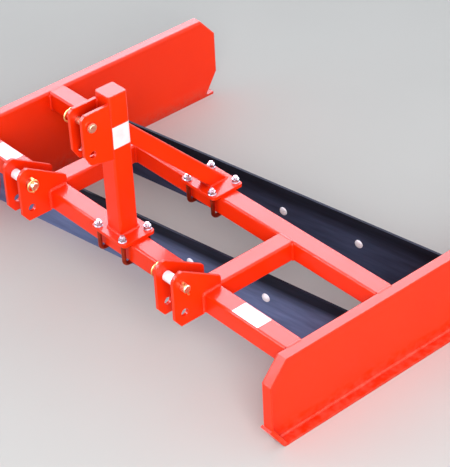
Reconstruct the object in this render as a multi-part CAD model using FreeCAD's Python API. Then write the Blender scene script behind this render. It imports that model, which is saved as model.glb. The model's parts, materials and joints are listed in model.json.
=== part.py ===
"""Land plane with two skewed blades, for a three-point hitch.

Frame: millimetres, +Z up, +Y towards the rear, +X to the right for a driver
who looks back at it, and "left" and "right" in the names are that driver's.
X = 0 is half way between the end plates, Y = 0 is half way along the
machine, and Z = 0 is the ground under the skids.
"""
import FreeCAD, Part
import math
import os

V = FreeCAD.Vector
os.makedirs("parts", exist_ok=True)

# ---- overall sizes ---------------------------------------------------------
overall_width = 1828.8          # over the rims of the two end plates
half_length = 670.0             # front of the hitch ears to the tail of the end plates
frame_height = 352.0            # ground to the top of the frame tubes
hitch_x = 25.4                  # hitch centre line, right of the middle

# ---- frame tube ------------------------------------------------------------
tube = 76.2
tube_wall = 6.35
tube_corner = 9.5
tube_spacing = 396.0            # front face of the front tube to that of the rear tube
rail_offset = 418.0             # hitch centre line to a rail's centre line

# ---- end plates and skid shoes ---------------------------------------------
rim_depth = 45.1
plate_thickness = 6.35
bend_radius = 11.4
plate_length = 1319.0
top_corner_run = 69.0
top_corner_drop = 80.0
low_corner_run = 57.0
low_corner_rise = 88.0
shoe_thickness = 10.0
shoe_tail_gap = 26.0            # shoe ends this far ahead of the plate's tail

# ---- hitch ears and pins ---------------------------------------------------
ear_thickness = 12.7
ear_inner = 364.0               # hitch centre line to the inner ear's inner face
ear_outer = 449.0               # hitch centre line to the outer ear's inner face
ear_reach = 121.0               # front face of the tube to the ear's front edge
ear_top = 482.0
ear_foot = 273.0
pin_reach = 80.0
lower_pin_z = 425.0
spare_hole_drop = 104.0
lower_pin_r = 14.3
pin_inner_stand = 36.0          # a hitch pin's end to the inner ear's inner face
pin_outer_stand = 22.0          # outer ear's outer face to the pin's other end
pin_chamfer = 2.5
linch_from_end = 15.0
linch_clearance = 0.3
cross_bar_from_end = 9.0
cross_bar_lean = 20.0           # degrees from upright, towards the front
cross_bar_half = 31.0
cross_bar_r = 4.0
cross_bar_clearance = 0.15
bore_clearance = 0.25
bushing_r = 18.3
bushing_clearance = 0.1
top_pin_r = 12.7
linch_r = 5.2
linch_ring_r = 22.0
linch_wire_r = 2.6
linch_ring_lengths = 24
linch_wire_sides = 8

# ---- mast ------------------------------------------------------------------
mast_top = 907.0
cap_thickness = 5.0
foot_plate_x = 180.0
foot_plate_y = 137.0
foot_plate_t = 12.7
foot_plate_corner = 14.0
bolt_spacing_x = 130.0
bolt_spacing_y = 108.0
u_rod_r = 7.9
u_rod_sides = 16
nut_across_flats = 23.8
nut_height = 13.5
thread_stand = 9.0
lug_thickness = 12.7
lug_reach = 113.0
lug_top = 882.0
lug_foot = 672.0
top_pin_z = 834.0
lug_hole_drop = 105.0

# ---- mast brace ------------------------------------------------------------
brace_width = 50.8
brace_depth = 57.2
brace_wall = 4.8
brace_top_z = 776.0             # where its upper face meets the mast's back

# ---- blades ----------------------------------------------------------------
blade_top_gap = 43.8            # from a blade's top edge up to the frame tubes
blade_thickness = 9.5
blade_curve_r = 400.0
blade_skew = math.degrees(math.atan(0.1566))
front_blade_y = 250.0           # behind the front tube's face, at X = 0
rear_blade_y = 692.0
beam = 50.8
beam_wall = 4.8

# ---- positions worked out from the sizes above -----------------------------
front_y = ear_reach - half_length
rear_y = front_y + tube_spacing
tube_bottom = frame_height - tube
inner_plane = overall_width / 2 - rim_depth
plate_tail = half_length
plate_nose = plate_tail - plate_length
front_axis_y = front_y + tube / 2
rear_axis_y = rear_y + tube / 2
blade_height = tube_bottom - blade_top_gap
blade_mid_z = blade_height / 2
blade_sag = blade_curve_r - math.sqrt(blade_curve_r ** 2 - blade_mid_z ** 2)


def save(node, shape):
    """Write one sub-part and report its size."""
    shape.exportStep("parts/" + node + ".step")
    print(node, "solids", len(shape.Solids), "volume", round(shape.Volume))


def prism_x(points, x_low, x_high):
    """A flat shape given by (y, z) corners, made thick along X."""
    ring = [V(x_low, y, z) for y, z in points]
    face = Part.Face(Part.makePolygon(ring + ring[:1]))
    return face.extrude(V(x_high - x_low, 0, 0))


def rod(start, end, radius):
    """A round bar between two points."""
    return Part.makeCylinder(radius, (end - start).Length, start, end - start)


def mirror_x(shape, x):
    """The same piece on the other side of the plane at x."""
    return shape.mirror(V(x, 0, 0), V(1, 0, 0))


def edges_where(shape, test):
    """The edges whose two ends both pass the test."""
    return [e for e in shape.Edges if len(e.Vertexes) == 2 and all(test(v.Point) for v in e.Vertexes)]


def near(value, target):
    return abs(value - target) < 0.01


def hollow_bar(width, depth, corner, wall, length):
    """A rectangular tube with rounded corners, standing on Z = 0, centred on Z."""
    def bar(w, d, r):
        solid = Part.makeBox(w, d, length, V(-w / 2, -d / 2, 0))
        upright = [e for e in solid.Edges if near(e.Length, length) and near(abs(e.tangentAt(0).z), 1)]
        return solid.makeFillet(r, upright)
    return bar(width, depth, corner).cut(bar(width - 2 * wall, depth - 2 * wall, corner - 0.8 * wall))


def tube_along_x(x_low, x_high, y_axis, z_axis, size, corner, wall):
    bar = hollow_bar(size, size, corner, wall, x_high - x_low)
    bar.rotate(V(), V(0, 1, 0), 90)
    bar.translate(V(x_low, y_axis, z_axis))
    return bar


# ---- frame: two cross tubes and two rails between them ----------------------
tube_axis_z = frame_height - tube / 2
front_tube = tube_along_x(-inner_plane, inner_plane, front_axis_y, tube_axis_z, tube, tube_corner, tube_wall)
save("front_tube", front_tube)
rear_tube = front_tube.translated(V(0, tube_spacing, 0))
save("rear_tube", rear_tube)

rail = hollow_bar(tube, tube, tube_corner, tube_wall, tube_spacing - tube)
rail.rotate(V(), V(1, 0, 0), -90)
rail.translate(V(hitch_x + rail_offset, front_y + tube, tube_axis_z))
save("right_frame_rail", rail)
save("left_frame_rail", mirror_x(rail, hitch_x))


# ---- end plates: a flat side with its rim bent outwards all round but below ---
def plate_outline(inset):
    """Corners of the side plate, from the shoe's toe round to its heel."""
    nose = plate_nose + inset
    tail = plate_tail - inset
    top = frame_height - inset
    slant_top = inset * (math.hypot(top_corner_run, top_corner_drop) - top_corner_drop) / top_corner_run
    cut_top = inset * (math.hypot(top_corner_run, top_corner_drop) - top_corner_run) / top_corner_drop
    cut_low = inset * (math.hypot(low_corner_run, low_corner_rise) - low_corner_rise) / low_corner_run
    slant = math.hypot(low_corner_run, low_corner_rise) / low_corner_rise * inset
    toe = plate_nose + low_corner_run + slant
    heel = plate_tail - low_corner_run - slant
    low_z = shoe_thickness + low_corner_rise
    return [
        (toe, shoe_thickness),
        (nose, low_z - cut_low),
        (nose, frame_height - top_corner_drop - slant_top),
        (plate_nose + top_corner_run + cut_top, top),
        (plate_tail - top_corner_run - cut_top, top),
        (tail, frame_height - top_corner_drop - slant_top),
        (tail, low_z - cut_low),
        (heel, shoe_thickness),
    ]


def end_plate():
    """The right-hand side plate."""
    outline = plate_outline(0)
    blank = prism_x(outline, inner_plane, inner_plane + rim_depth)
    bends = edges_where(blank, lambda p: near(p.x, inner_plane))
    bends = [e for e in bends if e.BoundBox.ZMax > shoe_thickness + 1]
    blank = blank.makeFillet(bend_radius, bends)
    web_face = inner_plane + plate_thickness
    hollow = plate_outline(plate_thickness)
    low = [(hollow[-1][0], -10.0), (hollow[0][0], -10.0)]
    pocket = prism_x(hollow + low, web_face, inner_plane + rim_depth + 10)
    bends = edges_where(pocket, lambda p: near(p.x, web_face) and p.z > shoe_thickness - 1)
    bends = [e for e in bends if e.BoundBox.ZMax > shoe_thickness + 1]
    pocket = pocket.makeFillet(bend_radius - plate_thickness, bends)
    return blank.cut(pocket)


right_plate = end_plate()
save("right_end_plate", right_plate)
save("left_end_plate", mirror_x(right_plate, 0))


# ---- skid shoes: flat bar, turned up along the plate's front corner ----------
def skid_shoe():
    toe = (plate_nose + low_corner_run, shoe_thickness)
    tip = (plate_nose, shoe_thickness + low_corner_rise)
    length = math.hypot(low_corner_run, low_corner_rise)
    out = (-low_corner_rise / length * shoe_thickness, -low_corner_run / length * shoe_thickness)
    tip_low = (tip[0] + out[0], tip[1] + out[1])
    rise = tip_low[1] / low_corner_rise
    tail = plate_tail - shoe_tail_gap
    profile = [(tail, 0.0), (tail, shoe_thickness), toe, tip, tip_low, (tip_low[0] + rise * low_corner_run, 0.0)]
    bar = prism_x(profile, inner_plane, inner_plane + rim_depth)
    bend_y = tip_low[0] + rise * low_corner_run
    bend = edges_where(bar, lambda p: near(p.z, 0) and near(p.y, bend_y))
    return bar.makeFillet(18.0, bend)


right_shoe = skid_shoe()
save("right_skid_shoe", right_shoe)
save("left_skid_shoe", mirror_x(right_shoe, 0))


# ---- lower hitch ears: bent over the tube's top and down its front -----------
def hitch_ear(x_low):
    top_front_y = front_y - 80.0
    profile = [
        (front_y, ear_foot),
        (front_y, frame_height),
        (front_y + tube, frame_height),
        (front_y + tube, frame_height + 34.0),
        (top_front_y, ear_top),
        (front_y - ear_reach, ear_top),
        (front_y - ear_reach, ear_foot + 32.0),
        (front_y - ear_reach + 24.0, ear_foot),
    ]
    ear = prism_x(profile, x_low, x_low + ear_thickness)
    shoulder = edges_where(ear, lambda p: near(p.y, front_y - ear_reach) and near(p.z, ear_top))
    ear = ear.makeFillet(36.0, shoulder)
    heel = edges_where(ear, lambda p: near(p.y, front_y + tube) and near(p.z, frame_height + 34.0))
    ear = ear.makeFillet(8.0, heel)
    for z in (lower_pin_z, lower_pin_z - spare_hole_drop):
        start = V(x_low - 1, front_y - pin_reach, z)
        ear = ear.cut(rod(start, start + V(ear_thickness + 2, 0, 0), lower_pin_r + bore_clearance))
    return ear


right_inner_ear = hitch_ear(hitch_x + ear_inner)
right_outer_ear = hitch_ear(hitch_x + ear_outer)
save("right_hitch_inner_ear", right_inner_ear)
save("right_hitch_outer_ear", right_outer_ear)
save("left_hitch_inner_ear", mirror_x(right_inner_ear, hitch_x))
save("left_hitch_outer_ear", mirror_x(right_outer_ear, hitch_x))


# ---- pins, linch pins and bushings --------------------------------------------
def cross_hole(centre, radius):
    """A vertical hole through a pin."""
    return rod(centre - V(0, 0, 40), centre + V(0, 0, 40), radius)


def linch_hoop(centre):
    """The spring ring about X: wire in short straight lengths, each side of each one flat."""
    def corner(i, j):
        along = 2 * math.pi * i / linch_ring_lengths
        around = 2 * math.pi * j / linch_wire_sides
        reach = linch_ring_r + linch_wire_r * math.cos(around)
        return centre + V(linch_wire_r * math.sin(around), reach * math.cos(along), reach * math.sin(along))

    sides = []
    for i in range(linch_ring_lengths):
        for j in range(linch_wire_sides):
            ring = [corner(i, j), corner(i, j + 1), corner(i + 1, j + 1), corner(i + 1, j)]
            sides.append(Part.Face(Part.makePolygon(ring + ring[:1])))
    shell = Part.makeShell(sides)
    shell.sewShape()
    return Part.makeSolid(shell)


def linch_pin(centre, pin_r):
    """A short pin dropped through a bigger one, with a ring that snaps over its end."""
    low = centre - V(0, 0, pin_r + 16)
    body = rod(low, centre + V(0, 0, pin_r + 6), linch_r)
    body = body.makeChamfer(2.5, [e for e in body.Edges if near(e.BoundBox.ZMax, low.z)])
    head = rod(centre + V(-8.5, 0, pin_r + 10), centre + V(8.5, 0, pin_r + 10), 6.5)
    hoop = linch_hoop(centre + V(-8.0, -4.0, pin_r + 10 - linch_ring_r))
    return body.fuse([head, hoop])


pin_y = front_y - pin_reach
pin_inner_end = hitch_x + ear_inner - pin_inner_stand
pin_outer_end = hitch_x + ear_outer + ear_thickness + pin_outer_stand
linch_x = pin_inner_end + linch_from_end
hitch_pin = rod(V(pin_inner_end, pin_y, lower_pin_z), V(pin_outer_end, pin_y, lower_pin_z), lower_pin_r)
ends = [e for e in hitch_pin.Edges if near(e.Length, 2 * math.pi * lower_pin_r)]
hitch_pin = hitch_pin.makeChamfer(pin_chamfer, ends)
linch_centre = V(linch_x, pin_y, lower_pin_z)
hitch_pin = hitch_pin.cut(cross_hole(linch_centre, linch_r + linch_clearance))
bar_lean = math.radians(cross_bar_lean)
half_bar = V(0, -math.sin(bar_lean), math.cos(bar_lean)) * cross_bar_half
bar_centre = V(pin_outer_end - cross_bar_from_end, pin_y, lower_pin_z)
handle = rod(bar_centre - half_bar, bar_centre + half_bar, cross_bar_r)
hitch_pin = hitch_pin.cut(rod(bar_centre - half_bar, bar_centre + half_bar, cross_bar_r + cross_bar_clearance))
save("right_hitch_pin", hitch_pin)
save("left_hitch_pin", mirror_x(hitch_pin, hitch_x))
save("right_hitch_pin_cross_bar", handle)
save("left_hitch_pin_cross_bar", mirror_x(handle, hitch_x))
lower_linch = linch_pin(linch_centre, lower_pin_r)
save("right_linch_pin", lower_linch)
save("left_linch_pin", mirror_x(lower_linch, hitch_x))

bushing_low = hitch_x + ear_inner + ear_thickness + 1.0
bushing_high = hitch_x + ear_outer - 1.0
bushing = rod(V(bushing_low, pin_y, lower_pin_z), V(bushing_high, pin_y, lower_pin_z), bushing_r)
rims = [e for e in bushing.Edges if near(e.Length, 2 * math.pi * bushing_r)]
bushing = bushing.makeChamfer(1.5, rims)
bushing = bushing.cut(rod(V(bushing_low - 1, pin_y, lower_pin_z), V(bushing_high + 1, pin_y, lower_pin_z),
                          lower_pin_r + bushing_clearance))
save("right_hitch_bushing", bushing)
save("left_hitch_bushing", mirror_x(bushing, hitch_x))

# ---- mast: tube, cap, foot plate and the two top-link lugs ----------------------
plate_top = frame_height + foot_plate_t
mast = hollow_bar(tube, tube, tube_corner, tube_wall, mast_top - cap_thickness - plate_top)
mast.translate(V(hitch_x, front_axis_y, plate_top))
save("mast_tube", mast)
cap_size = tube - 1.0
cap = Part.makeBox(cap_size, cap_size, cap_thickness,
                   V(hitch_x - cap_size / 2, front_axis_y - cap_size / 2, mast_top - cap_thickness))
cap_corners = [e for e in cap.Edges if near(e.Length, cap_thickness)]
cap = cap.makeFillet(tube_corner, cap_corners)
cap = cap.makeChamfer(1.5, [e for e in cap.Edges if near(e.BoundBox.ZMin, mast_top)])
save("mast_cap", cap)


def foot_plate(y_axis):
    """The plate under the mast or brace, with four bolt holes astride the tube."""
    plate = Part.makeBox(foot_plate_x, foot_plate_y, foot_plate_t,
                         V(hitch_x - foot_plate_x / 2, y_axis - foot_plate_y / 2, frame_height))
    plate = plate.makeFillet(foot_plate_corner, [e for e in plate.Edges if near(e.Length, foot_plate_t)])
    for x, y in bolt_places(y_axis):
        plate = plate.cut(rod(V(x, y, frame_height - 1), V(x, y, plate_top + 1), u_rod_r + 0.4))
    return plate


def bolt_places(y_axis):
    half_x = bolt_spacing_x / 2
    half_y = bolt_spacing_y / 2
    return [(hitch_x + sx * half_x, y_axis + sy * half_y) for sx in (-1, 1) for sy in (-1, 1)]


def u_bolt(x, y_axis):
    """A square-bottomed U-bolt of many-sided rod, its legs up through the plate."""
    half = bolt_spacing_y / 2
    low = tube_bottom - u_rod_r - 0.3
    high = plate_top + nut_height + thread_stand
    bend = 18.0
    d = bend * math.sin(math.radians(45))
    legs = [V(x, y_axis - half, high), V(x, y_axis - half, low + bend)]
    mid_front = V(x, y_axis - half + bend - d, low + bend - d)
    mid_rear = V(x, y_axis + half - bend + d, low + bend - d)
    base = [V(x, y_axis - half + bend, low), V(x, y_axis + half - bend, low)]
    far = [V(x, y_axis + half, low + bend), V(x, y_axis + half, high)]
    path = Part.Wire([
        Part.makeLine(legs[0], legs[1]),
        Part.Arc(legs[1], mid_front, base[0]).toShape(),
        Part.makeLine(base[0], base[1]),
        Part.Arc(base[1], mid_rear, far[0]).toShape(),
        Part.makeLine(far[0], far[1]),
    ])
    turns = [2 * math.pi * i / u_rod_sides for i in range(u_rod_sides + 1)]
    ring = Part.makePolygon([legs[0] + V(u_rod_r * math.cos(a), u_rod_r * math.sin(a), 0) for a in turns])
    return path.makePipeShell([ring], True, True)


def hex_nut(x, y, z):
    """A nut with its top corners rounded off, bored to clear the rod."""
    corner_r = nut_across_flats / 2 / math.cos(math.radians(30))
    ring = [V(x + corner_r * math.cos(math.radians(a)), y + corner_r * math.sin(math.radians(a)), z)
            for a in range(0, 360, 60)]
    nut = Part.Face(Part.makePolygon(ring + ring[:1])).extrude(V(0, 0, nut_height))
    crown = Part.makeCone(corner_r + 8.0, corner_r - 1.6, nut_height, V(x, y, z))
    nut = nut.common(crown)
    return nut.cut(rod(V(x, y, z - 1), V(x, y, z + nut_height + 1), u_rod_r + 0.3))


for name, y_axis in (("mast", front_axis_y), ("brace", rear_axis_y)):
    save(name + "_foot_plate", foot_plate(y_axis))
    for side, sx in (("left", -1), ("right", 1)):
        save(name + "_" + side + "_u_bolt", u_bolt(hitch_x + sx * bolt_spacing_x / 2, y_axis))
    nuts = [hex_nut(x, y, plate_top) for x, y in bolt_places(y_axis)]
    save(name + "_nuts", Part.makeCompound(nuts))


def top_link_lug(x_low):
    nose = front_y - lug_reach
    profile = [
        (front_y, lug_foot),
        (front_y, lug_top),
        (nose + 14.0, lug_top),
        (nose, lug_top - 13.0),
        (nose, lug_foot + 60.0),
        (nose + 22.0, lug_foot + 21.0),
    ]
    lug = prism_x(profile, x_low, x_low + lug_thickness)
    shoulder = edges_where(lug, lambda p: p.y < nose + 15.0 and p.z > lug_top - 14.0)
    lug = lug.makeFillet(9.0, [e for e in shoulder if near(e.Length, lug_thickness)])
    for z in (top_pin_z, top_pin_z - lug_hole_drop):
        start = V(x_low - 1, front_y - pin_reach, z)
        lug = lug.cut(rod(start, start + V(lug_thickness + 2, 0, 0), top_pin_r + bore_clearance))
    return lug


right_lug = top_link_lug(hitch_x + tube / 2 - lug_thickness)
save("right_top_link_lug", right_lug)
save("left_top_link_lug", mirror_x(right_lug, hitch_x))

top_pin_low = hitch_x - tube / 2 - 34.0
top_pin_high = hitch_x + tube / 2 + 12.0
top_pin = rod(V(top_pin_low, pin_y, top_pin_z), V(top_pin_high, pin_y, top_pin_z), top_pin_r)
top_pin = top_pin.makeChamfer(2.0, [e for e in top_pin.Edges if near(e.Length, 2 * math.pi * top_pin_r)])
collar = rod(V(top_pin_high - 8, pin_y, top_pin_z), V(top_pin_high - 1, pin_y, top_pin_z), top_pin_r + 4.0)
top_linch_centre = V(top_pin_low + 14.0, pin_y, top_pin_z)
top_pin = top_pin.fuse(collar).removeSplitter()
top_pin = top_pin.cut(cross_hole(top_linch_centre, linch_r + linch_clearance))
save("top_link_pin", top_pin)
save("top_linch_pin", linch_pin(top_linch_centre, top_pin_r))


# ---- brace: a tube at 45 degrees from the mast's back to the rear foot plate -----
def mast_brace():
    """Slanted tube, cut upright against the mast's back and level on its foot plate."""
    slant = math.cos(math.radians(45))
    back = front_y + tube
    half = brace_depth / 2 * slant
    overrun = 650.0
    bar = hollow_bar(brace_width, brace_depth, 6.0, brace_wall, overrun + 100.0)
    bar.rotate(V(), V(1, 0, 0), 45)
    bar.translate(V(hitch_x, back - half + overrun * slant, brace_top_z - half - overrun * slant))
    window = Part.makeBox(brace_width + 2, 700.0, brace_top_z, V(hitch_x - brace_width / 2 - 1, back, plate_top))
    return bar.common(window)


save("brace_tube", mast_brace())


# ---- blades: rolled plates set askew between the end plates, each on a beam -----
def skewed(shape, y_at_middle):
    """Turn a piece built along X at Y = 0 to the blades' skew and trim its ends."""
    shape.rotate(V(), V(0, 0, 1), blade_skew)
    shape.translate(V(0, front_y + y_at_middle, 0))
    room = Part.makeBox(2 * inner_plane, 3000.0, 600.0, V(-inner_plane, -1500.0, -50.0))
    return shape.common(room)


def blade_bar():
    """A length of rolled plate, hollow side forwards, its edges on the Y = 0 line."""
    long_x = overall_width * 1.2
    start = V(-long_x / 2, blade_sag - blade_curve_r, blade_mid_z)
    outer = Part.makeCylinder(blade_curve_r + blade_thickness, long_x, start, V(1, 0, 0))
    inner = Part.makeCylinder(blade_curve_r, long_x, start, V(1, 0, 0))
    strip = Part.makeBox(long_x, 200.0, blade_height, V(-long_x / 2, -100.0, 0))
    return outer.cut(inner).common(strip)


def blade_beam():
    """The square tube that backs a blade half way up."""
    y_axis = blade_sag + blade_thickness + 0.3 + beam / 2
    return tube_along_x(-overall_width * 0.6, overall_width * 0.6, y_axis, blade_mid_z, beam, 6.0, beam_wall)


for name, y_middle in (("front", front_blade_y), ("rear", rear_blade_y)):
    save(name + "_blade", skewed(blade_bar(), y_middle))
    save(name + "_blade_beam", skewed(blade_beam(), y_middle))
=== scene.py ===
# %% [markdown]
# # A land plane, finished in Blender
#
# The machine is a farm tool that hangs on a tractor's three-point hitch and is
# dragged along a road or yard. Two end plates slide on flat shoes, a welded frame
# of square tube joins them, and two curved blades set askew shave the high spots
# and roll the loose stone into the hollows.
#
# The bare shapes come ready made from the imported model. This lesson adds what a
# shape alone can't show: paint, plating, weld beads, bolts, threads and labels.
# We load the frame first. Nothing that we add may stick out of it.

# %% Load the imported model
import json
import math

import bpy
import numpy as np
from mathutils import Matrix, Vector


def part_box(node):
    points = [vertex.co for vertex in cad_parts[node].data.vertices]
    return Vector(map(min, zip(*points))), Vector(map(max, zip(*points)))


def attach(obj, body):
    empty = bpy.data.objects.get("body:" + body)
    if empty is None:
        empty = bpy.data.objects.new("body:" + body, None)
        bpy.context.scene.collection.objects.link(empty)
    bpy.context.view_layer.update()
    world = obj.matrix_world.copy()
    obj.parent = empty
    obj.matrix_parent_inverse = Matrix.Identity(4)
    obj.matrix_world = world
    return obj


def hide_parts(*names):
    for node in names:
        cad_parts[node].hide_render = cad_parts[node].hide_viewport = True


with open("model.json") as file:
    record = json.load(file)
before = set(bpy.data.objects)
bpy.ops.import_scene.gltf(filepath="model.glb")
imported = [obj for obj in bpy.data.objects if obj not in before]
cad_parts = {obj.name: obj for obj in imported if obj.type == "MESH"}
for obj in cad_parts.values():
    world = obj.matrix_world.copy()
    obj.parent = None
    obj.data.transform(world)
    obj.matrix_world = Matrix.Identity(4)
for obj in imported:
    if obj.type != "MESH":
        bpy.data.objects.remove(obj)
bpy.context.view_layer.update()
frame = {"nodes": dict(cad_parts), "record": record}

mm = 0.001

# %% [markdown]
# ## Where things are
#
# Every added piece sits on something that the model already has, so we never type
# a position that we can read. `corners` gives the lowest and highest corner of a
# node as arrays, and the few values below are the edges that most pieces share.
# Only sizes that no node shows, such as the radius of a tube's corners, are typed.

# %% Read the main edges of the frame
def corners(node):
    """(lowest, highest) corner of a node as two arrays, in metres."""
    low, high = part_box(node)
    return np.array(low), np.array(high)


tube_low, tube_high = corners("front_tube")
tube_side = tube_high[2] - tube_low[2]
tube_corner = 9.5 * mm
tube_front, tube_back = tube_low[1], tube_high[1]
frame_top = tube_high[2]
mast_low, mast_high = corners("mast_tube")
hitch_x = (mast_low[0] + mast_high[0]) / 2
web_inner = tube_high[0]
web_thickness = 6.35 * mm
print("tube", round(tube_side, 4), "hitch line at", round(hitch_x, 4))
print("inner face of an end plate at", round(web_inner, 4))

# %% [markdown]
# ## A small kit for materials
#
# A material is a graph of nodes. The same few groups come back in every finish:
# a noise that reads Object coordinates, so that it stays fixed to the steel, a
# range that turns one span of numbers into another, and a mix of two colours.
# Writing each of them once keeps the finishes below short enough to read.

# %% Helpers for material nodes
def start_material(name):
    """A new material, its node tree and its main shader."""
    material = bpy.data.materials.new(name)
    material.use_nodes = True
    return material, material.node_tree, material.node_tree.nodes["Principled BSDF"]


def place(tree):
    """Object coordinates: the point on the steel, in metres."""
    return tree.nodes.new("ShaderNodeTexCoord").outputs["Object"]


def above_floor(tree):
    """Height of the point over the floor, in metres."""
    node = tree.nodes.new("ShaderNodeSeparateXYZ")
    tree.links.new(place(tree), node.inputs["Vector"])
    return node.outputs["Z"]


def noise(tree, scale, detail=3.0, stretch=None):
    """Soft random patches, about 1 / scale metres across; stretch squeezes them along an axis."""
    node = tree.nodes.new("ShaderNodeTexNoise")
    node.inputs["Scale"].default_value = scale
    node.inputs["Detail"].default_value = detail
    source = place(tree)
    if stretch:
        squeeze = tree.nodes.new("ShaderNodeMapping")
        squeeze.inputs["Scale"].default_value = stretch
        tree.links.new(source, squeeze.inputs["Vector"])
        source = squeeze.outputs["Vector"]
    tree.links.new(source, node.inputs["Vector"])
    return node.outputs["Fac"]


def span(tree, value, low, high, to_low=0.0, to_high=1.0):
    """value from low..high carried over to to_low..to_high, and held at the ends."""
    node = tree.nodes.new("ShaderNodeMapRange")
    tree.links.new(value, node.inputs["Value"])
    ends = {"From Min": low, "From Max": high, "To Min": to_low, "To Max": to_high}
    for socket, number in ends.items():
        node.inputs[socket].default_value = number
    return node.outputs["Result"]


def patches(tree, scale, detail=3.0, stretch=None, low=0.0, high=1.0):
    """Noise that runs from low to high: its middle part, 0.3 to 0.7, is stretched over them."""
    return span(tree, noise(tree, scale, detail, stretch), 0.3, 0.7, low, high)


def arithmetic(tree, operation, first, second):
    """first and second put through one operation of the Math node."""
    node = tree.nodes.new("ShaderNodeMath")
    node.operation = operation
    tree.links.new(first, node.inputs[0])
    tree.links.new(second, node.inputs[1])
    return node.outputs["Value"]


def times(tree, first, second):
    """first multiplied by second."""
    return arithmetic(tree, "MULTIPLY", first, second)


def plus(tree, first, second):
    """first added to second."""
    return arithmetic(tree, "ADD", first, second)


def blend_colour(tree, amount, first, second):
    """first where amount is 0, second where it is 1; each is a colour or a socket."""
    node = tree.nodes.new("ShaderNodeMix")
    node.data_type = "RGBA"
    tree.links.new(amount, node.inputs["Factor"])
    for socket, colour in ((node.inputs[6], first), (node.inputs[7], second)):
        if isinstance(colour, tuple):
            socket.default_value = (*colour, 1.0)
        else:
            tree.links.new(colour, socket)
    return node.outputs[2]


def soft_edge(tree, width):
    """(normal with edges rounded over width, how near an edge the point is from 0 to 1).

    The dot product of the rounded and the flat normal is 1 away from edges, and it
    drops as the rounded one turns away. Below sharp_dot the point is on the edge.
    """
    flat_dot, sharp_dot = 0.995, 0.80
    rounded = tree.nodes.new("ShaderNodeBevel")
    rounded.samples = 4
    rounded.inputs["Radius"].default_value = width
    flat = tree.nodes.new("ShaderNodeNewGeometry")
    turn = tree.nodes.new("ShaderNodeVectorMath")
    turn.operation = "DOT_PRODUCT"
    tree.links.new(rounded.outputs["Normal"], turn.inputs[0])
    tree.links.new(flat.outputs["Normal"], turn.inputs[1])
    return rounded.outputs["Normal"], span(tree, turn.outputs["Value"], flat_dot, sharp_dot)


def hollow(tree, reach):
    """Where shade is painted: 1 deep in corners and between close plates, 0 where the steel is open for
    reach metres.

    The node gives the share of directions that are open.
    """
    mostly_open, mostly_shut = 0.80, 0.25
    node = tree.nodes.new("ShaderNodeAmbientOcclusion")
    node.samples = 8
    node.inputs["Distance"].default_value = reach
    return span(tree, node.outputs["AO"], mostly_open, mostly_shut)


def bump(tree, shader, height, strength, depth, normal=None):
    """Raises the surface by depth metres where height is 1."""
    node = tree.nodes.new("ShaderNodeBump")
    node.inputs["Strength"].default_value = strength
    node.inputs["Distance"].default_value = depth
    tree.links.new(height, node.inputs["Height"])
    if normal is not None:
        tree.links.new(normal, node.inputs["Normal"])
    tree.links.new(node.outputs["Normal"], shader.inputs["Normal"])


print("material helpers ready")

# %% [markdown]
# ## Gloss paint on the frame
#
# The frame is powder coated in a strong orange red. Powder melts and flows as it
# bakes, so the coat has a fine orange peel, it draws thin over sharp edges, and
# where a film of road dust has settled near the ground it is duller. Edges are
# painted lighter, partly for the thin coat and partly as a painted highlight. In
# corners and between close plates a deep red is painted in as shade. One way is a
# painted picture, but noise in Object coordinates costs nothing, has no seams and
# stays sharp at any distance, so the finish is built from a few noises, the height
# above the ground and two measures of shape: how near an edge is and how open the
# steel lies, which sets the painted shade.

# %% Frame paint
def frame_paint():
    """Orange-red powder coat: peel, patches, edges lighter for a thin coat and a painted highlight,
    painted shade in the hollows, and dust low down.
    """
    orange_red, patch_red = (1.0, 0.037, 0.002), (0.96, 0.031, 0.002)
    # The lighter edge red is a thin coat and a painted highlight; the deep red is painted shade.
    thin_coat_highlight_red, painted_shade_red, road_dust = (0.95, 0.14, 0.05), (0.50, 0.008, 0.001), (0.42, 0.30, 0.22)
    edge_width, painted_shade_reach, dust_height = 2.2 * mm, 90 * mm, 70 * mm
    material, tree, shader = start_material("frame_red_powder_coat")
    rounded, edge = soft_edge(tree, edge_width)
    colour = blend_colour(tree, patches(tree, scale=3.0), orange_red, patch_red)
    uneven = span(tree, noise(tree, scale=60.0), 0.35, 0.75, to_low=0.15, to_high=0.55)
    # Edges painted lighter: partly a thin coat, partly a painted highlight.
    thin = times(tree, edge, uneven)
    colour = blend_colour(tree, thin, colour, thin_coat_highlight_red)
    # Painted shade: corners and close gaps turn deep red.
    colour = blend_colour(tree, hollow(tree, painted_shade_reach), colour, painted_shade_red)
    low_down = span(tree, above_floor(tree), dust_height, 0.0)
    clumps = span(tree, noise(tree, scale=45.0, detail=6.0), 0.35, 0.8, to_high=0.28)
    dust = times(tree, low_down, clumps)
    colour = blend_colour(tree, dust, colour, road_dust)
    tree.links.new(colour, shader.inputs["Base Color"])
    satin = patches(tree, scale=5.0, low=0.30, high=0.36)
    tree.links.new(plus(tree, satin, dust), shader.inputs["Roughness"])
    shader.inputs["Specular IOR Level"].default_value = 0.12
    shader.inputs["Coat Weight"].default_value = 0.20
    shader.inputs["Coat Roughness"].default_value = 0.12
    orange_peel = noise(tree, scale=260.0, detail=2.0)
    bump(tree, shader, orange_peel, strength=0.05, depth=0.3 * mm, normal=rounded)
    return material


frame_red = frame_paint()
print("made", frame_red.name)
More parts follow.
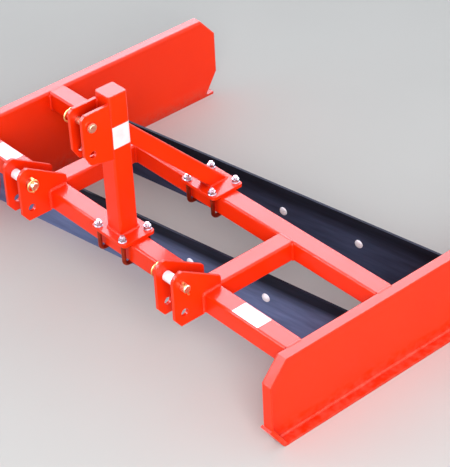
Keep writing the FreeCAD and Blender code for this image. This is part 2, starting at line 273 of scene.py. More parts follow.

# %% [markdown]
# ## Satin black on the blades
#
# The blades are rolled from wear-resistant plate and sprayed black. The coat is
# thinner and flatter than the frame's, it shows faint lengthways marks from the
# mill and the rolls, and its sheen leans to blue because black paint reflects the
# sky. A noise that is squeezed along the blade draws those marks. Low down, where
# the paint is worn glossy, a pale blue is painted into the colour as sheen.

# %% Blade paint
def blade_paint(name, scour_and_sheen):
    """Satin black: lengthways roll marks, a cool sheen, and low down the paint is worn glossy, with a
    pale blue painted sheen.
    """
    black, mark_black = (0.007, 0.008, 0.014), (0.014, 0.016, 0.030)
    # The pale blue is a painted sheen, laid low down where the paint is worn.
    painted_sheen_blue = (0.165, 0.220, 0.420)
    scour_and_sheen_starts, scour_and_sheen_full = 185 * mm, 125 * mm
    material, tree, shader = start_material(name)
    rounded, _ = soft_edge(tree, 1.6 * mm)
    marks = patches(tree, scale=30.0, detail=4.0, stretch=(0.10, 1.0, 1.6))
    colour = blend_colour(tree, marks, black, mark_black)
    low_down = span(tree, above_floor(tree), scour_and_sheen_starts, scour_and_sheen_full)
    long_noise = noise(tree, scale=5.0, detail=2.0, stretch=(0.5, 1.0, 2.0))
    long_patches = span(tree, long_noise, 0.38, 0.58, to_low=0.75 * scour_and_sheen, to_high=scour_and_sheen)
    streaks = span(tree, marks, 0.0, 1.0, to_low=0.6, to_high=1.0)
    scour_and_sheen_mask = times(tree, times(tree, low_down, long_patches), streaks)
    # Low down the colour turns to the painted blue sheen.
    colour = blend_colour(tree, scour_and_sheen_mask, colour, painted_sheen_blue)
    tree.links.new(colour, shader.inputs["Base Color"])
    sheen = {"Roughness": (0.48, 0.30), "Specular IOR Level": (0.06, 0.40)}
    for socket, (painted, bare) in sheen.items():
        tree.links.new(span(tree, scour_and_sheen_mask, 0.0, 1.0, painted, bare), shader.inputs[socket])
    shader.inputs["Specular Tint"].default_value = (0.55, 0.70, 1.0, 1.0)
    bump(tree, shader, marks, strength=0.15, depth=0.2 * mm, normal=rounded)
    return material


blade_black = blade_paint("blade_satin_black", 0.30)
scour_and_sheen_black = blade_paint("blade_scour_and_sheen_black", 1.0)
print("made", blade_black.name, scour_and_sheen_black.name)

# %% [markdown]
# ## Zinc, white and yellow
#
# Nuts and U-bolts are plated with plain zinc, and the linch pins and the cross bars with
# yellow zinc, a chromate film that shifts from brass to pink. The big pins carry a
# much paler film of the same kind, and the bushings and blade bolts are so fresh
# that they look nearly white. Plated steel is a metal to the shader, so its colour
# is the colour of its reflections. Only the fresh zinc is mostly not: its milky
# film scatters light as paint does. One function makes them all: it takes the two
# colours that the plating wanders between.

# %% Plating
def plating(name, light, dark, roughness, metallic=1.0):
    """Plated steel that wanders between two colours, with fine drawing scratches."""
    material, tree, shader = start_material(name)
    rounded, _ = soft_edge(tree, 0.8 * mm)
    cloud = patches(tree, scale=70.0, detail=2.0)
    tree.links.new(blend_colour(tree, cloud, light, dark), shader.inputs["Base Color"])
    shader.inputs["Metallic"].default_value = metallic
    grain = noise(tree, scale=500.0, detail=3.0, stretch=(0.2, 1.0, 1.0))
    worn = span(tree, grain, 0.2, 0.8, roughness - 0.06, roughness + 0.10)
    tree.links.new(worn, shader.inputs["Roughness"])
    bump(tree, shader, grain, strength=0.12, depth=0.1 * mm, normal=rounded)
    return material


zinc = plating("zinc_plating", (0.46, 0.45, 0.49), (0.30, 0.29, 0.33), 0.30)
fresh_zinc = plating("fresh_zinc_plating", (0.96, 0.97, 1.0), (0.90, 0.92, 0.96), 0.40, 0.15)
pale_zinc = plating("pale_yellow_zinc_plating", (0.82, 0.72, 0.50), (0.60, 0.48, 0.29), 0.30)
yellow_zinc = plating("yellow_zinc_plating", (0.90, 0.60, 0.22), (0.72, 0.40, 0.16), 0.28)
# Dark red zinc for the U-bolts: a painted reflection of the red frame, with painted shade.
painted_reflection_red_zinc = plating("painted_reflection_red_zinc_plating", (0.46, 0.05, 0.02), (0.28, 0.03, 0.01), 0.36)
print("made", zinc.name, fresh_zinc.name, pale_zinc.name, yellow_zinc.name, painted_reflection_red_zinc.name)

# %% [markdown]
# ## Painting the imported nodes
#
# Each node names its finish in the record, so one loop paints them all. Four kinds
# of node differ in tone from the rest of their slot: the three big pins have the
# paler yellow film, the bushings are fresh and nearly white, the U-bolts are
# painted dark red, a painted reflection of the red frame beside them with painted
# shade, and the front blade, which meets the soil first, is scoured more than the
# rear one and carries more painted blue sheen.

# %% Give every imported node its finish
finishes = {
    "frame_red": frame_red,
    "blade_black": blade_black,
    "zinc_plate": zinc,
    "yellow_zinc": yellow_zinc,
}
big_pins = ("left_hitch_pin", "right_hitch_pin", "top_link_pin")
for subpart in frame["record"]["subparts"]:
    node = subpart["node"]
    finish = finishes[subpart["material_slot"]]
    if node in big_pins:
        finish = pale_zinc
    elif node == "front_blade":
        # The front blade has more wear and more of the painted blue sheen.
        finish = scour_and_sheen_black
    elif node.endswith("_bushing"):
        finish = fresh_zinc
    elif node.endswith("_u_bolt"):
        # U-bolts: dark red painted reflection of the frame, with painted shade.
        finish = painted_reflection_red_zinc
    slots = frame["nodes"][node].data.materials
    slots.clear()
    slots.append(finish)

# %% [markdown]
# ## A small kit for surfaces
#
# Every new piece is a closed skin over a grid of points: a row of rings, each with
# the same number of corners. A bolt head is rings round an axis, a weld is a
# section carried along a seam. `closed_skin` joins neighbouring rings by
# triangles, closes the two ends with a fan, and turns the whole skin inside out if
# its volume comes out negative, so that faces always point outwards.

# %% Helpers for surfaces
def closed_skin(rings, loop=False):
    """(points, triangles) over rings[ring, corner, xyz]; loop joins the last ring to the first."""
    count, sides = rings.shape[:2]
    index = np.arange(count * sides).reshape(count, sides)
    here, there = (index, np.roll(index, -1, 0)) if loop else (index[:-1], index[1:])
    nexts = np.roll(here, -1, 1), np.roll(there, -1, 1)
    one = np.stack([here, nexts[0], nexts[1]], -1).reshape(-1, 3)
    two = np.stack([here, nexts[1], there], -1).reshape(-1, 3)
    points, faces = rings.reshape(-1, 3), np.vstack([one, two])
    if not loop:
        hub = np.full(sides, len(points))
        points = np.vstack([points, rings[0].mean(0), rings[-1].mean(0)])
        start = np.stack([np.roll(index[0], -1), index[0], hub], -1)
        end = np.stack([index[-1], np.roll(index[-1], -1), hub + 1], -1)
        faces = np.vstack([faces, start, end])
    a, b, c = (points[faces[:, k]] for k in range(3))
    if np.einsum("ij,ij->", a, np.cross(b, c)) < 0:
        faces = faces[:, ::-1]
    return points, faces


def add_piece(name, skins, body, finish):
    """One object from several closed skins, riding on a body; edges over 35 degrees stay sharp."""
    starts = np.cumsum([0] + [len(points) for points, faces in skins[:-1]])
    points = np.vstack([points for points, faces in skins])
    faces = np.vstack([faces + start for (_, faces), start in zip(skins, starts)])
    mesh = bpy.data.meshes.new(name)
    mesh.from_pydata(points.tolist(), [], faces.tolist())
    mesh.polygons.foreach_set("use_smooth", np.ones(len(faces), dtype=bool))
    mesh.set_sharp_from_angle(angle=math.radians(35))
    mesh.materials.append(finish)
    piece = bpy.data.objects.new(name, mesh)
    bpy.context.scene.collection.objects.link(piece)
    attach(piece, body)
    print(name, "triangles", len(faces), "skins", len(skins))
    return piece


# %% [markdown]
# ## Weld beads
#
# The frame is welded together, and fillet welds are what the eye looks for in a
# fabrication: a rounded strip in each inside corner, with the ripples of a pool
# that froze step by step. Bump can't give it, because the strip fills the corner.
# So each bead is a real section carried along its seam. At a station of the seam,
# leg A runs out over one plate and leg B up the other, and the skin goes from the
# end of A to the end of B with a slight crown.
#
# The ripple is a cosine along the seam, delayed in the middle of the section, and
# that delay is what bends each ripple into a crescent.

# %% A bead along a seam
# Heights are shares of the leg length, and the lag is in turns of the ripple.
station_gap = 1.3 * mm
crown_height = 0.16
ripple_height, ripple_pitch, ripple_lag = 0.08, 5.0 * mm, 0.3
wander_height, wander_lengths = 0.06, (21 * mm, 37 * mm)
taper_in_sizes = 1.2
sunk = 0.3 * mm
across = np.linspace(0.0, 1.0, 7)
bead_luck = np.random.default_rng(7)


def bead(seam, leg_a, leg_b, size, loop=False):
    """A fillet bead: point = seam + reach * ((1 - v) A + v B + crown sin(pi v) (A + B)).

    v runs over the section from 0 to 1. reach is the leg length times a ripple,
    1 + height cos(2 pi (s / pitch - lag sin(pi v))), s being the distance along the
    seam, times a slow wander, and it shrinks to nearly nothing at the ends of an
    open seam. The tips and the root are sunk a little into the plates.
    """
    leg_a, leg_b = (np.broadcast_to(leg, seam.shape) for leg in (leg_a, leg_b))
    steps = np.linalg.norm(np.diff(seam, axis=0), axis=1)
    s = np.concatenate([[0.0], np.cumsum(steps)])
    v = across[None, :]
    phase = s[:, None] / ripple_pitch - ripple_lag * np.sin(math.pi * v)
    waves = [np.sin(s / length + bead_luck.uniform(0, 6)) for length in wander_lengths]
    wander = 1 + wander_height * waves[0] * waves[1]
    reach = size * wander[:, None] * (1 + ripple_height * np.cos(2 * math.pi * phase))
    if not loop:
        from_end = np.clip(np.minimum(s, s[-1] - s) / (taper_in_sizes * size), 0.02, 1.0)
        reach = reach * np.sqrt(from_end * (2 - from_end))[:, None]
    crown = crown_height * np.sin(math.pi * v)
    share_a, share_b = (1 - v + crown)[..., None], (v + crown)[..., None]
    section = share_a * leg_a[:, None, :] + share_b * leg_b[:, None, :]
    skin = seam[:, None, :] + reach[..., None] * section
    skin[:, 0] -= sunk * leg_b
    skin[:, -1] -= sunk * leg_a
    root = seam - 1.5 * sunk * (leg_a + leg_b)
    return closed_skin(np.concatenate([skin, root[:, None, :]], axis=1), loop)


def straight(start, end):
    """Stations from start to end, a station gap apart."""
    start, end = np.array(start, float), np.array(end, float)
    count = max(4, int(np.linalg.norm(end - start) / station_gap))
    return start + np.linspace(0, 1, count)[:, None] * (end - start)


def rounded_ring(width, height, radius):
    """(points, outward normals) round a rounded rectangle in its own plane.

    Four times over, a quarter turn of the radius is followed by a straight side.
    """
    points, normals = [], []
    stations = max(5, int(radius * math.pi / 2 / station_gap))
    for quarter in range(4):
        turn = np.linspace(quarter, quarter + 1, stations) * math.pi / 2
        out = np.stack([np.cos(turn), np.sin(turn)], -1)
        sign = np.sign(out[len(out) // 2])
        arc = sign * (np.array([width, height]) / 2 - radius) + radius * out
        along = width if quarter % 2 == 0 else height
        side = straight(np.zeros(1), np.ones(1) * (along - 2 * radius))[1:-1]
        heading = np.array([-out[-1][1], out[-1][0]])
        points += [arc, arc[-1] + side * heading]
        normals += [out, np.repeat(out[-1:], len(side), 0)]
    return np.vstack(points), np.vstack(normals)


def tube_end(centre, u, v, width, height, radius):
    """(points, outward directions) round a tube's end on a plate that u and v span."""
    flat, out = rounded_ring(width, height, radius)
    seam = np.array(centre) + flat[:, :1] * u + flat[:, 1:] * v
    return seam, out[:, :1] * u + out[:, 1:] * v


def ring_bead(centre, u, v, width, height, radius, off_plate, size):
    """A bead right round a tube's end; off_plate points along the tube."""
    seam, away = tube_end(centre, u, v, width, height, radius)
    return bead(seam, away, off_plate, size, loop=True)


def weld(name, beads):
    """Beads as one piece on the frame, painted with it."""
    add_piece(name, beads, "frame", frame_red)


X, Y, Z = np.eye(3)
test_seam = straight((0, 0, 0), (0.1, 0, 0))
print("a 100 mm bead has", len(bead(test_seam, Y, Z, 6 * mm)[1]), "triangles")

# %% [markdown]
# ## Welds on the frame
#
# The end plate's rim bends away level with the top of the cross tubes. So a bead
# runs down one side of each tube end, under it and up the other side, and the groove
# on top, before the bend, is filled. The two rails meet the cross tubes flush in the
# same way: fillets on their sides, filled grooves above and below. A groove takes
# two passes: a deep bead, and a nearly flat one that brings it level, so that the
# top of a rail runs on into the top of a tube.

# %% Weld the tubes and rails
def cradle_bead(centre, u, v, side_length, radius, off_plate, size):
    """A bead round a square tube's end, left open along the side that v points to."""
    open_from = 0.3
    seam, away = tube_end(centre, u, v, side_length, side_length, radius)
    is_open = away @ v > open_from
    first = int(np.argmax(is_open))
    seam, away, is_open = (np.roll(part, -first, 0) for part in (seam, away, is_open))
    return bead(seam[~is_open], away[~is_open], off_plate, size)


def level_bead(start, end, across_groove, up, half_width):
    """The last pass in a groove: it spans half_width to each side and rises a fifth of that."""
    rise = 0.2 * up
    seam = straight(start, end) - half_width * rise
    return bead(seam, rise + across_groove, rise - across_groove, half_width)


rim_bend = 11.4 * mm
tube_leg, groove_leg = 6.5 * mm, 6 * mm
groove_depth, groove_inset, level_inset = 6.5 * mm, 5 * mm, 6 * mm
tube_welds = []
for node in ("front_tube", "rear_tube"):
    low, high = corners(node)
    middle = (low + high) / 2
    for side in (-1, 1):
        centre = (side * web_inner, middle[1], middle[2])
        tube_welds.append(cradle_bead(centre, Y, Z, tube_side, tube_corner, -side * X, tube_leg))
        x, z = side * web_inner, high[2] - groove_depth
        seam = straight((x, low[1] + groove_inset, z), (x, high[1] - groove_inset, z))
        tube_welds.append(bead(seam, side * X, Z, groove_leg))
        x = side * (web_inner + rim_bend / 2)
        ends = (x, low[1] + level_inset, high[2]), (x, high[1] - level_inset, high[2])
        tube_welds.append(level_bead(*ends, X, Z, rim_bend / 2))
weld("cross_tube_welds", tube_welds)

rail_leg, rail_groove_leg = 6 * mm, 6.5 * mm
side_inset, deep_inset, flat_inset = 2 * mm, 6 * mm, 7 * mm
rail_groove_depth = 7 * mm
rail_welds = []
for node in ("left_frame_rail", "right_frame_rail"):
    low, high = corners(node)
    for y, along in ((low[1], Y), (high[1], -Y)):
        for x, out in ((low[0], -X), (high[0], X)):
            seam = straight((x, y, low[2] + side_inset), (x, y, high[2] - side_inset))
            rail_welds.append(bead(seam, out, along, rail_leg))
        for z, out in ((low[2], -Z), (high[2], Z)):
            deep_z = z - rail_groove_depth * out[2]
            seam = straight((low[0] + deep_inset, y, deep_z), (high[0] - deep_inset, y, deep_z))
            rail_welds.append(bead(seam, -along, out, rail_groove_leg))
            level_y = y - along[1] * tube_corner / 2
            ends = (low[0] + flat_inset, level_y, z), (high[0] - flat_inset, level_y, z)
            rail_welds.append(level_bead(*ends, Y, out, tube_corner / 2))
weld("rail_welds", rail_welds)

# %% [markdown]
# ## Welds on the hitch
#
# Each lower hitch ear sits over the front tube like a saddle: its seam climbs the
# tube's face, turns over the rounded corner and runs back along the top, on both
# sides of the ear. The top-link lugs stand on the mast's front face, flush with its
# sides, so each has a fillet inside and a filled groove outside.

# %% Weld the ears and lugs
def saddle(x, foot, inset=3 * mm):
    """(stations, outward directions) up the tube's face, round its corner and over its top, at x."""
    bend, corner_y = frame_top - tube_corner, tube_front + tube_corner
    rise = straight((x, tube_front, foot), (x, tube_front, bend))
    turn = np.linspace(math.pi, math.pi / 2, 12)[1:-1]
    arc_out = np.stack([0 * turn, np.cos(turn), np.sin(turn)], -1)
    arc = np.array([x, corner_y, bend]) + tube_corner * arc_out
    over = straight((x, corner_y, frame_top), (x, tube_back - inset, frame_top))
    out = np.vstack([np.repeat([-Y], len(rise), 0), arc_out, np.repeat([Z], len(over), 0)])
    return np.vstack([rise, arc, over]), out


ear_leg, ear_inset = 8 * mm, 5 * mm
for hand in ("left", "right"):
    ear_welds = []
    for which in ("inner", "outer"):
        low, high = corners(hand + "_hitch_" + which + "_ear")
        for x, away in ((low[0], -X), (high[0], X)):
            seam, out = saddle(x, low[2] + ear_inset)
            ear_welds.append(bead(seam, away, out, ear_leg))
    weld(hand + "_ear_welds", ear_welds)


lug_leg, lug_groove_inset = 6 * mm, 5 * mm
lug_foot_inset, lug_top_inset = 3 * mm, 2 * mm


def lug_seam(x, low, high):
    """The stations at x up the mast's front face, which lies in line with the tube's."""
    foot, top = low[2] + lug_foot_inset, high[2] - lug_top_inset
    return straight((x, tube_front, foot), (x, tube_front, top))


lug_welds = []
for hand, outward in (("left", -X), ("right", X)):
    low, high = corners(hand + "_top_link_lug")
    inner_x, outer_x = (high[0], low[0]) if hand == "left" else (low[0], high[0])
    groove_x = outer_x - outward[0] * lug_groove_inset
    lug_welds.append(bead(lug_seam(inner_x, low, high), -outward, -Y, lug_leg))
    lug_welds.append(bead(lug_seam(groove_x, low, high), Y, outward, lug_leg))
weld("top_link_lug_welds", lug_welds)

# %% [markdown]
# ## Welds on the mast and its brace
#
# The mast stands square on its foot plate, so its seam is a rounded square and leg
# B points straight up. The brace comes in at 45 degrees and its ends are cut to lie
# flat, so each end is a rounded rectangle that is 1.41 times as long as the tube is
# deep, and leg B slants along the brace.

# %% Weld the mast and brace
mast_leg, brace_leg = 7 * mm, 6 * mm
brace_depth, brace_corner = 57.2 * mm, 8 * mm
mast_middle = (mast_low + mast_high) / 2
mast_foot = (hitch_x, mast_middle[1], mast_low[2])
brace_low, brace_high = corners("brace_tube")
brace_cut = brace_depth * math.sqrt(2)
brace_end = (brace_high[0] - brace_low[0], brace_cut, brace_corner)
slant = np.array([0, 1, -1]) / math.sqrt(2)
upper_end = (hitch_x, brace_low[1], brace_high[2] - brace_cut / 2)
lower_end = (hitch_x, brace_high[1] - brace_cut / 2, brace_low[2])
weld("mast_and_brace_welds", [
    ring_bead(mast_foot, X, Y, tube_side, tube_side, tube_corner, Z, mast_leg),
    ring_bead(upper_end, X, Z, *brace_end, slant, brace_leg),
    ring_bead(lower_end, X, Y, *brace_end, -slant, brace_leg),
])

# %% [markdown]
# ## Welds under the end plates
#
# The web of each end plate stands on its shoe, with one long bead outside. It is
# the light ridge along the foot of the plate.

# %% Weld the shoes
shoe_top, shoe_leg = 10 * mm, 7 * mm
toe_inset, heel_inset = 72 * mm, 42 * mm
for hand, side in (("left", -1), ("right", 1)):
    low, high = corners(hand + "_skid_shoe")
    x = side * (web_inner + web_thickness)
    seam = straight((x, low[1] + toe_inset, shoe_top), (x, high[1] - heel_inset, shoe_top))
    weld(hand + "_shoe_weld", [bead(seam, side * X, Z, shoe_leg)])

# %% [markdown]
# ## Where a blade's face is
#
# A blade is an arc in section, 400 mm in radius, and its line is askew in plan. At
# height z its face lies sqrt(R^2 - (z - h / 2)^2) - sqrt(R^2 - (h / 2)^2) behind the
# line between its two edges. The skew is given; the line comes back out of the box:
# the box is as deep as the skew plus the hollow plus the plate. Bolts and welds then
# ask one function for their place. The blades themselves are only bolted on, so
# that they can be changed, and only the beams behind them are welded to the plates.

# %% The rolled face, and the beams' welds
roll_radius = 400 * mm
blade_thickness = 9.5 * mm
blade_slope = 0.1566


def blade_face(node, x, z, behind=0.0):
    """The point on the blade's rolled face at x and z, or a distance behind that face."""
    low, high = corners(node)
    half = (high[2] - low[2]) / 2
    chord = math.sqrt(roll_radius ** 2 - half ** 2)
    stretch = math.sqrt(1 + blade_slope ** 2)
    middle_y = (low[1] + high[1] - (roll_radius - chord + blade_thickness) * stretch) / 2
    rolled = math.sqrt((roll_radius + behind) ** 2 - (z - half) ** 2) - chord
    return np.array([x, middle_y + blade_slope * x + rolled * stretch, z])


beam_leg, beam_corner, beam_stretch = 5 * mm, 6 * mm, 1.012
beam_welds = []
for node in ("front_blade", "rear_blade"):
    low, high = corners(node + "_beam")
    size, middle_z = high[2] - low[2], (low[2] + high[2]) / 2
    for side in (-1, 1):
        centre = blade_face(node, side * web_inner, middle_z, blade_thickness) + Y * (size / 2)
        beam_end = (size * beam_stretch, size, beam_corner)
        beam_welds.append(ring_bead(centre, Y, Z, *beam_end, -side * X, beam_leg))
weld("beam_welds", beam_welds)

# %% [markdown]
# ## Bolts, nuts and threads
#
# A turned part is a profile spun round an axis, and a nut is the same thing with a
# radius that depends on the angle: across a flat the radius is a / cos(angle from
# the middle of that flat). A thread is a radius too, one that rises and falls with
# height and angle together, so that its crest climbs as it goes round. One function
# takes heights and radii, and it makes carriage bolts, nuts, washers and threads.

# %% Turned parts
def turned(origin, axis, heights, radii, sides=48):
    """Rings round an axis: point = origin + height * axis + radius * (cos t, sin t) across it.

    radii is one radius, one for each height, or one for each height and side.
    """
    axis = np.array(axis, float) / np.linalg.norm(axis)
    first = np.cross(axis, X if abs(axis[0]) < 0.7 else Y)
    first /= np.linalg.norm(first)
    second = np.cross(axis, first)
    t = np.arange(sides) * 2 * math.pi / sides
    heights = np.array(heights, float)
    radii = np.array(radii, float)
    if radii.ndim < 2:
        radii = radii.reshape(-1, 1)
    radii = np.broadcast_to(radii, (len(heights), sides))
    across_axis = np.cos(t)[:, None] * first + np.sin(t)[:, None] * second
    rings = np.array(origin) + heights[:, None, None] * axis + radii[..., None] * across_axis
    return closed_skin(rings)


def hexagon(flat_to_flat, sides=48):
    """Radius of a hexagon at each side: half its width / cosine of the turn off a flat's middle."""
    t = np.arange(sides) * 2 * math.pi / sides
    return flat_to_flat / 2 / np.cos(np.mod(t, math.pi / 3) - math.pi / 6)


def nut(origin, axis, flat_to_flat, height):
    """A hexagon nut: its corners are turned down to a cone at both faces."""
    corner_share = 1.16
    cone = flat_to_flat / 2 * np.array([[1.0], [corner_share], [corner_share], [1.0]])
    heights = np.array([0.0, 0.12, 0.88, 1.0]) * height
    return turned(origin, axis, heights, np.minimum(hexagon(flat_to_flat), cone))


def threaded_end(origin, axis, length, radius, pitch=2.0 * mm, sides=36):
    """A stub of thread: radius + depth * (|2 u - 1| - 1), u = fraction of (height / pitch - turn)."""
    rings_a_turn, depth, point = 8, 0.9 * mm, 1 * mm
    chamfer_start, chamfer_end = radius - 0.6 * mm, radius - 1.6 * mm
    heights = np.linspace(0, length - point, int(length / pitch * rings_a_turn))
    t = np.arange(sides) / sides
    u = np.mod(heights[:, None] / pitch - t[None, :], 1.0)
    radii = radius + depth * (np.abs(2 * u - 1) - 1)
    heights = np.append(heights, [length - point, length])
    chamfer = np.array([[chamfer_start], [chamfer_end]]) * np.ones((1, sides))
    return turned(origin, axis, heights, np.vstack([radii, chamfer]), sides)


print("a nut has", len(nut((0, 0, 0), Z, 24 * mm, 13 * mm)[1]), "triangles")

# %% [markdown]
# ## Blade bolts
#
# Carriage bolts hold each blade: a round domed head on the hollow face, which lets
# the soil slide past, and a nut on the back of the beam. The dome's radius at
# height h follows an ellipse, r = R sqrt(1 - (h / H)^2).

# %% Bolt the blades on
dome_radius, dome_height, dome_tip = 16.5 * mm, 8.0 * mm, 0.2 * mm
middle_bolt, bolt_pitch = 74 * mm, 336 * mm
seated, back_gap = 0.5 * mm, 0.3 * mm
back_washer_radius, washer_depth = 17 * mm, 2.4 * mm
blade_nut_flats, blade_nut_height = 23.8 * mm, 13.5 * mm
bolt_radius, bolt_stub = 7.9 * mm, 9 * mm
bolt_places = middle_bolt + bolt_pitch * np.arange(-2, 3)
facing = np.array([blade_slope, -1, 0]) / math.sqrt(1 + blade_slope ** 2)
rise = np.sin(np.linspace(0, math.pi / 2, 9))
dome_heights = np.append(-seated, rise * dome_height)
dome_radii = np.append(dome_radius, dome_radius * np.sqrt(1 - rise ** 2) + dome_tip)
for node in ("front_blade", "rear_blade"):
    low, high = corners(node)
    beam_low, beam_high = corners(node + "_beam")
    middle_z = (low[2] + high[2]) / 2
    through = blade_thickness + beam_high[2] - beam_low[2]
    fixings = []
    for x in bolt_places:
        seat = blade_face(node, x, middle_z)
        fixings.append(turned(seat, facing, dome_heights, dome_radii, 40))
        back = seat - facing * (through + back_gap)
        fixings.append(turned(back, -facing, (-seated, washer_depth), back_washer_radius))
        back = back - facing * washer_depth
        fixings.append(nut(back, -facing, blade_nut_flats, blade_nut_height))
        back = back - facing * blade_nut_height
        fixings.append(threaded_end(back, -facing, bolt_stub, bolt_radius))
    add_piece(node + "_bolts", fixings, "frame", fresh_zinc)

# %% [markdown]
# ## U-bolt ends
#
# The U-bolts come up through the two foot plates. Under each nut lies a flat washer,
# and the thread shows above it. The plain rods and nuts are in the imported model, so
# the new thread is a sleeve a hair wider than the rod end that it covers.

# %% Washers and threads on the foot plates
washer_heights = (-seated, 2.0 * mm, 2.6 * mm)
washer_radii = (14.6 * mm, 14.6 * mm, 13.9 * mm)
sleeve = 0.45 * mm
thread_overlap, thread_over_rod = 2 * mm, 0.3 * mm
for foot in ("mast", "brace"):
    plate_top = corners(foot + "_foot_plate")[1][2]
    nut_top = corners(foot + "_nuts")[1][2]
    fixings = []
    for hand in ("left", "right"):
        low, high = corners(foot + "_" + hand + "_u_bolt")
        rod = (high[0] - low[0]) / 2
        for y in (low[1] + rod, high[1] - rod):
            x = (low[0] + high[0]) / 2
            fixings.append(turned((x, y, plate_top), Z, washer_heights, washer_radii))
            start = nut_top - thread_overlap
            length = high[2] + thread_over_rod - start
            fixings.append(threaded_end((x, y, start), Z, length, rod + sleeve))
    add_piece(foot + "_washers_and_threads", fixings, "frame", zinc)

# %% [markdown]
# ## Linch pins
#
# A linch pin is a short pin with a spring ring that snaps over the end of the pin
# that it locks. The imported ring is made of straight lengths, which is plenty for a
# collision. A smooth one stands in for it here: a torus for the wire, two turned
# parts for the pin and its head. It rides on the body of the pin that it locks.

# %% Smooth linch pins
wire, ring_radius = 2.6 * mm, 22 * mm
pin_radius, pin_taper, taper_length = 5.2 * mm, 2.2 * mm, 2.5 * mm
head_radius, head_half, head_chamfer = 6.5 * mm, 8.5 * mm, 1.2 * mm
shank_offset = 4 * mm
linch_bodies = {
    "left_linch_pin": "left_hitch_pin",
    "right_linch_pin": "right_hitch_pin",
    "top_linch_pin": "top_link_pin",
}


def ring_of_wire(centre):
    """A torus about X: wire section turned at ring_radius round centre."""
    round_ring = np.linspace(0, 2 * math.pi, 72, endpoint=False)[:, None]
    round_wire = np.linspace(0, 2 * math.pi, 16, endpoint=False)[None, :]
    reach = ring_radius + wire * np.cos(round_wire)
    x = wire * np.sin(round_wire) + 0 * round_ring
    rings = np.stack([x, reach * np.cos(round_ring), reach * np.sin(round_ring)], -1)
    return closed_skin(np.array(centre) + rings, loop=True)


shank_radii = (pin_radius - pin_taper, pin_radius, pin_radius)
head_ends = (-head_half, head_chamfer - head_half, head_half - head_chamfer, head_half)
head_radii = (head_radius - head_chamfer, head_radius, head_radius, head_radius - head_chamfer)
for node, body in linch_bodies.items():
    low, high = corners(node)
    hoop_y = (low[1] + high[1]) / 2
    shank_y = hoop_y + shank_offset
    hoop_x, shank_x = low[0] + wire, high[0] - head_half
    if node == "left_linch_pin":
        hoop_x, shank_x = high[0] - wire, low[0] + head_half
    head_z = high[2] - head_radius
    shank_heights = (0, taper_length, head_z - low[2])
    shank = turned((shank_x, shank_y, low[2]), Z, shank_heights, shank_radii, 32)
    head = turned((shank_x, shank_y, head_z), X, head_ends, head_radii, 32)
    hoop = ring_of_wire((hoop_x, hoop_y, head_z - ring_radius))
    smooth = add_piece(node + "_smooth", [shank, head, hoop], body, yellow_zinc)
    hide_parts(node)

# %% [markdown]
# ## Labels
#
# Three white labels are stuck on the tubes: one round the mast's right face, two on
# top of the front tube. They stay blank. A label bends with the tube, so its skin is
# worked out on the tube's own section: flat for the first part, then round the
# corner's arc. The corners of the label itself are rounded by making the end rows
# shorter, w = W - (r - sqrt(r^2 - (r - d)^2)) at distance d from the end.

# %% Stick the labels on
def label_white():
    """Vinyl: clean white, softly glossy, with faint grey smudges."""
    clean_white, smudged_white = (0.84, 0.84, 0.85), (0.72, 0.71, 0.70)
    material, tree, shader = start_material("label_white_vinyl")
    smudge = span(tree, noise(tree, scale=25.0, detail=5.0), 0.45, 0.75)
    colour = blend_colour(tree, smudge, clean_white, smudged_white)
    tree.links.new(colour, shader.inputs["Base Color"])
    tree.links.new(span(tree, smudge, 0.0, 1.0, 0.30, 0.50), shader.inputs["Roughness"])
    film = noise(tree, scale=300.0, detail=2.0)
    bump(tree, shader, film, strength=0.08, depth=0.1 * mm)
    return material


def label(origin, outward, sideways, along, length, width):
    """A thin skin on a tube's face, opposite origin, a point on the tube's axis.

    Across the face, a point further from the middle than the flat part goes round
    the corner: by an angle of (distance - flat) / corner radius.
    """
    corner, lift, under = 3 * mm, 0.25 * mm, 0.5 * mm
    d = np.concatenate([corner * (1 - np.cos(np.linspace(0, math.pi / 2, 7))), [length / 2]])
    d = np.concatenate([d, length - d[-2::-1]])
    from_end = np.minimum(np.minimum(d, length - d), corner)
    half = width / 2 - (corner - np.sqrt(corner ** 2 - (corner - from_end) ** 2))
    s = half[:, None] * np.linspace(-1, 1, 31)[None, :]
    flat = tube_side / 2 - tube_corner
    turn = np.clip((np.abs(s) - flat) / tube_corner, 0, None)
    onto_face = np.clip(np.abs(s), None, flat)
    skins = []
    for offset in (lift, -under):
        out = flat + (tube_corner + offset) * np.cos(turn)
        side = np.sign(s) * (onto_face + (tube_corner + offset) * np.sin(turn))
        skins.append(out[..., None] * outward + side[..., None] * sideways)
    rings = np.concatenate([skins[0], skins[1][:, ::-1]], axis=1)
    rings = rings + np.array(origin) + (d - length / 2)[:, None, None] * along
    return closed_skin(rings)


mast_label_drop, right_label_x, left_label_x = 152 * mm, 678 * mm, -652 * mm
mast_label_size, tube_label_size = (82 * mm, 76 * mm), (124 * mm, 62 * mm)
white_vinyl = label_white()
mast_axis = (hitch_x, mast_middle[1], mast_high[2] - mast_label_drop)
tube_axis = (tube_low[1:] + tube_high[1:]) / 2
labels = {
    "mast_label": label(mast_axis, X, Y, Z, *mast_label_size),
    "right_tube_label": label((right_label_x, *tube_axis), Z, Y, X, *tube_label_size),
    "left_tube_label": label((left_label_x, *tube_axis), Z, Y, X, *tube_label_size),
}
for name, skin in labels.items():
    add_piece(name, [skin], "frame", white_vinyl)

# %% [markdown]
# ## Floor and light
#
# A plain pale floor carries the shadow. The world is three plain backgrounds, which
# the Light Path node tells apart: a soft blue-white for the light it gives, white
# where the camera looks at it, and a much brighter pale blue where gloss does, as an
# overcast sky outshines the ground. One large softbox in front and above gives shape.
# Two cards show in gloss only: the reflection of one lies on the level faces and
# that of the other on the slanted rims, as the sky's does.

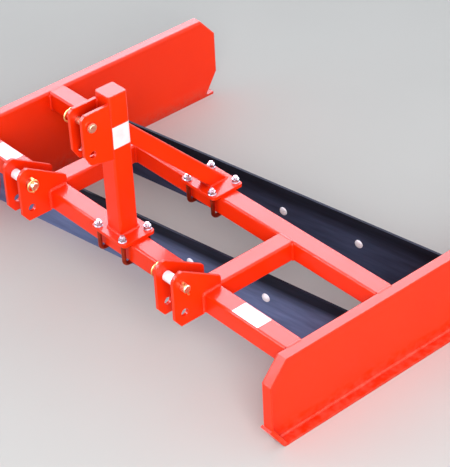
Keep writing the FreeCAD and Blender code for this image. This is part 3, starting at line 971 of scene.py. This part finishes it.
# %% Floor, world and softboxes
def floor_finish():
    """Matt pale floor with the faintest patches."""
    pale, paler = (0.60, 0.59, 0.57), (0.63, 0.62, 0.60)
    material, tree, shader = start_material("pale_floor")
    colour = blend_colour(tree, patches(tree, scale=0.8), pale, paler)
    tree.links.new(colour, shader.inputs["Base Color"])
    shader.inputs["Roughness"].default_value = 0.9
    shader.inputs["Specular IOR Level"].default_value = 0.1
    return material


floor_half = 30.0
floor_corners = floor_half * np.array([[-1, -1, 0], [1, -1, 0], [1, 1, 0], [-1, 1, 0]])
floor_mesh = bpy.data.meshes.new("floor")
floor_mesh.from_pydata(floor_corners.tolist(), [], [(0, 1, 2, 3)])
floor_mesh.materials.append(floor_finish())
floor = bpy.data.objects.new("floor", floor_mesh)
bpy.context.scene.collection.objects.link(floor)

world = bpy.data.worlds.new("studio")
world.use_nodes = True
bpy.context.scene.world = world
sky = world.node_tree


def backdrop(colour, strength):
    """One plain background of the world."""
    node = sky.nodes.new("ShaderNodeBackground")
    node.inputs["Color"].default_value = (*colour, 1.0)
    node.inputs["Strength"].default_value = strength
    return node.outputs["Background"]


def unless(rays, first, second):
    """first for all rays but the given ones, which meet second."""
    node = sky.nodes.new("ShaderNodeMixShader")
    for socket, source in zip(node.inputs, (rays, first, second)):
        sky.links.new(source, socket)
    return node.outputs["Shader"]


path = sky.nodes.new("ShaderNodeLightPath")
direct = plus(sky, path.outputs["Is Camera Ray"], path.outputs["Is Transmission Ray"])
soft_light = backdrop((0.90, 0.95, 1.0), 0.80)
seen_white = backdrop((1.0, 1.0, 1.0), 1.0)
bright_sky = backdrop((0.88, 0.88, 1.0), 4.0)
whole = unless(direct, soft_light, seen_white)
whole = unless(path.outputs["Is Glossy Ray"], whole, bright_sky)
sky.links.new(whole, sky.nodes["World Output"].inputs["Surface"])


def softbox(name, place_at, look_at, size, power, colour=(1.0, 1.0, 1.0)):
    """A square area lamp that faces a point."""
    lamp = bpy.data.lights.new(name, "AREA")
    lamp.shape, lamp.size, lamp.energy, lamp.color = "SQUARE", size, power, colour
    stand = bpy.data.objects.new(name, lamp)
    aim = (Vector(look_at) - Vector(place_at)).to_track_quat("-Z", "Y")
    stand.matrix_world = Matrix.Translation(place_at) @ aim.to_matrix().to_4x4()
    bpy.context.scene.collection.objects.link(stand)
    return stand


machine_middle, near_corner = (0, 0, 0.3), (0.9, -0.6, 0.3)
sky_tint = (0.86, 0.84, 1.0)
softbox("main_softbox", (4.9, -3.5, 3.7), machine_middle, size=3.6, power=345)
sky_card = softbox("sky_card", (-5.2, 4.3, 5.2), machine_middle, size=5.0, power=740, colour=sky_tint)
rim_card = softbox("rim_card", (-4.6, -5.0, 4.6), near_corner, size=3.2, power=620, colour=sky_tint)
for card in (sky_card, rim_card):
    card.visible_diffuse = False
print("studio ready, floor", floor_half * 2, "m wide")

# %% [markdown]
# ## Camera
#
# The camera looks down on the right front corner with a long lens, from about
# seven metres, and is tipped a little to one side. Three angles and a place say
# that. The axis that points back from the subject is made from azimuth and
# elevation, and the other two are turned about it by the tip.

# %% Place the camera
azimuth, elevation, tip = (math.radians(a) for a in (50.653, 35.670, -3.074))
camera_place = (4.3264, -3.5878, 4.1026)
focal_length, sensor_width = 147.42, 36.0
flat_reach = math.cos(elevation)
back = Vector((math.sin(azimuth) * flat_reach, -math.cos(azimuth) * flat_reach, math.sin(elevation)))
level = (-back).cross(Vector((0, 0, 1))).normalized()
upright = level.cross(-back)
right = level * math.cos(tip) + upright * math.sin(tip)
top = upright * math.cos(tip) - level * math.sin(tip)
lens = bpy.data.cameras.new("camera")
lens.sensor_width = sensor_width
lens.lens = focal_length
lens.shift_x, lens.shift_y = -0.0028, -0.0007
lens.clip_end = 200.0
camera = bpy.data.objects.new("camera", lens)
turned_to = Matrix((right, top, back)).transposed().to_4x4()
camera.matrix_world = Matrix.Translation(camera_place) @ turned_to
bpy.context.scene.collection.objects.link(camera)
bpy.context.scene.camera = camera
bpy.context.scene.view_settings.view_transform = "Standard"
print("camera at", [round(v, 3) for v in camera.location])
